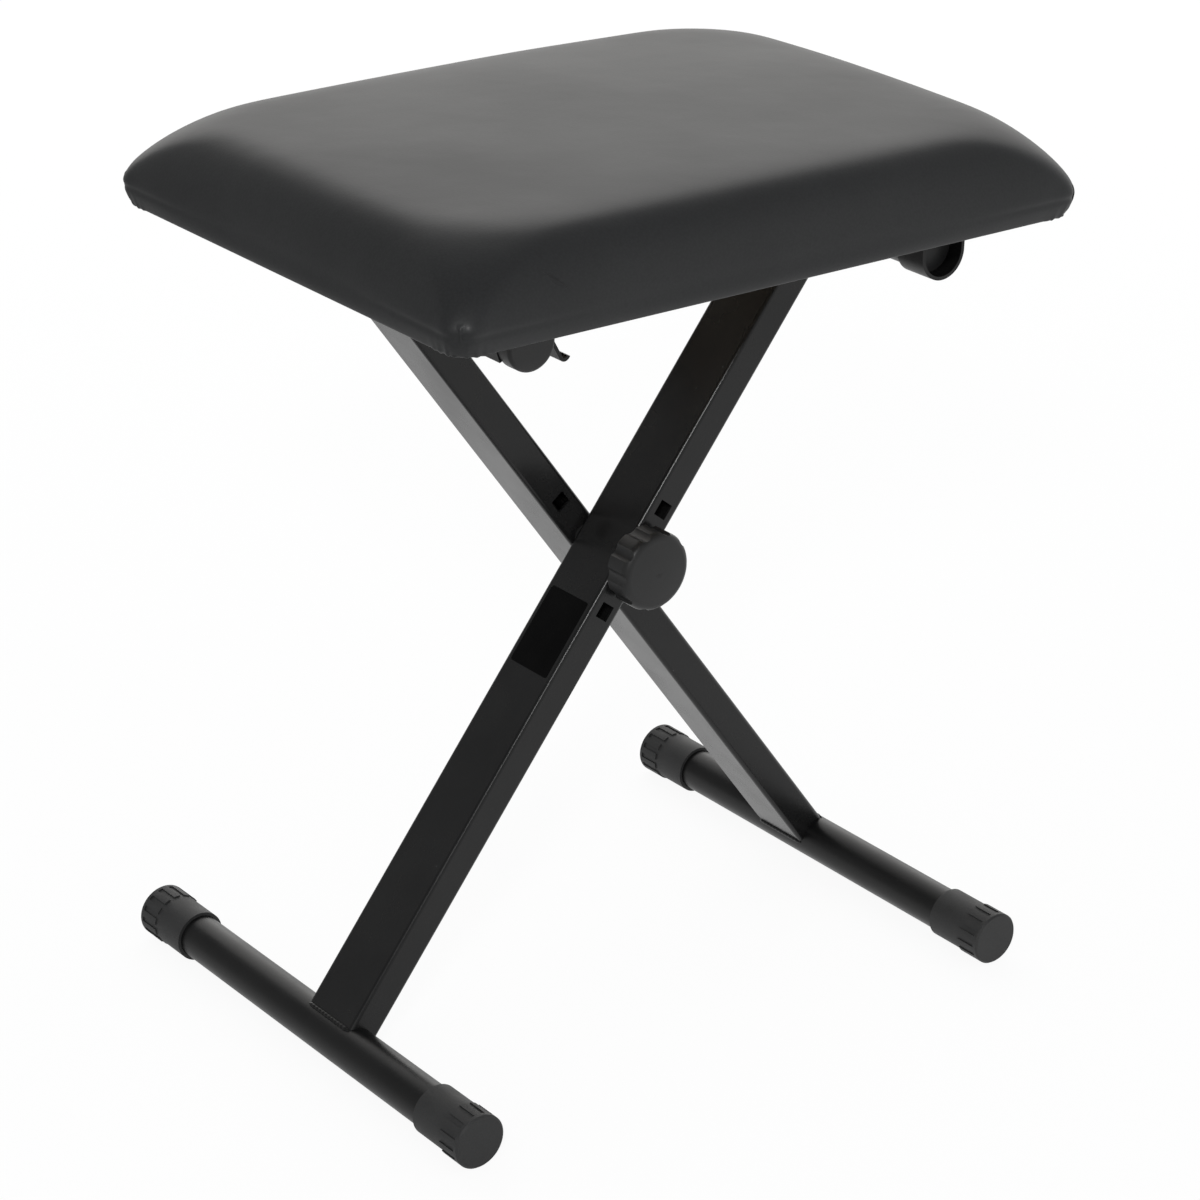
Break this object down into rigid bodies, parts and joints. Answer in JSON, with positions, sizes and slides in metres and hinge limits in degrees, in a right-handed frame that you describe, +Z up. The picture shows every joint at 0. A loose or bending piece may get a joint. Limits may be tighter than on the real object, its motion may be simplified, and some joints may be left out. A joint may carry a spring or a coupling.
{
  "type": "keyboard bench",
  "caption": "Folding bench for a keyboard player: padded leatherette seat on crossed steel legs, clamped at the crossing by a hand knob.",
  "frame": {"origin": "on the floor, midway between the four feet", "axes": "+Z up, +X along the seat's long side, -Y towards the front, the side with the knob"},
  "size_m": [0.4148, 0.31, 0.5],
  "materials": {
    "leg_paint": "satin black powder coat",
    "bar_paint": "satin black powder coat",
    "bracket_paint": "satin black",
    "foot_rubber": "matt moulded",
    "end_plastic": "fine moulded",
    "knob_plastic": "fine moulded",
    "spacer_plastic": "natural nylon",
    "zinc_steel": "zinc plated",
    "insert_brass": "turned",
    "board_wood": "raw plywood",
    "foam": "open-cell foam",
    "leatherette": "soft sheen, fine grain"
  },
  "bodies": {
    "front_leg_frame": {"front_leg": "leg_paint", "left_foot_bar": "bar_paint", "right_top_bar": "bar_paint", "left_foot_cap_front": "foot_rubber", "left_foot_cap_rear": "foot_rubber", "right_bar_plug_front": "end_plastic", "right_bar_plug_rear": "end_plastic"},
    "rear_leg_frame": {"rear_leg": "leg_paint", "right_foot_bar": "bar_paint", "left_top_bar": "bar_paint", "right_foot_cap_front": "foot_rubber", "right_foot_cap_rear": "foot_rubber", "left_bar_cap_front": "end_plastic", "left_bar_cap_rear": "end_plastic", "pivot_bolt": "zinc_steel", "leg_spacer": "spacer_plastic"},
    "seat": {"seat_board": "board_wood", "seat_foam": "foam", "seat_cover": "leatherette", "cover_staples": "zinc_steel", "bracket_screws": "zinc_steel", "saddle_bracket_front": "bracket_paint", "saddle_bracket_rear": "bracket_paint", "hook_bracket_front": "bracket_paint", "hook_bracket_rear": "bracket_paint"},
    "clamp_washer": {"knob_washer": "zinc_steel"},
    "hand_knob": {"knob": "knob_plastic", "knob_insert": "insert_brass"}
  },
  "joints": [
    {"name": "seat_lift", "type": "hinge", "parent": "front_leg_frame", "child": "seat", "pos_m": [0.1333, 0, 0.43302], "axis": [0, 1, 0], "range_deg": [0, 125]},
    {"name": "leg_scissor", "type": "hinge", "parent": "front_leg_frame", "child": "rear_leg_frame", "pos_m": [0, 0, 0.258], "axis": [0, 1, 0], "range_deg": [0, 65]},
    {"name": "knob_travel", "type": "slide", "parent": "rear_leg_frame", "child": "clamp_washer", "axis": [0, -1, 0], "range_m": [0, 0.00375]},
    {"name": "knob_turn", "type": "hinge", "parent": "clamp_washer", "child": "hand_knob", "pos_m": [0, -0.05, 0.258], "axis": [0, -1, 0], "range_deg": [0, 1080]}
  ],
  "couplings": [
    {"joint": "leg_scissor", "follows": "seat_lift", "ratio": 0.52},
    {"joint": "knob_turn", "follows": "knob_travel", "rad_per_m": 5026.5}
  ]
}
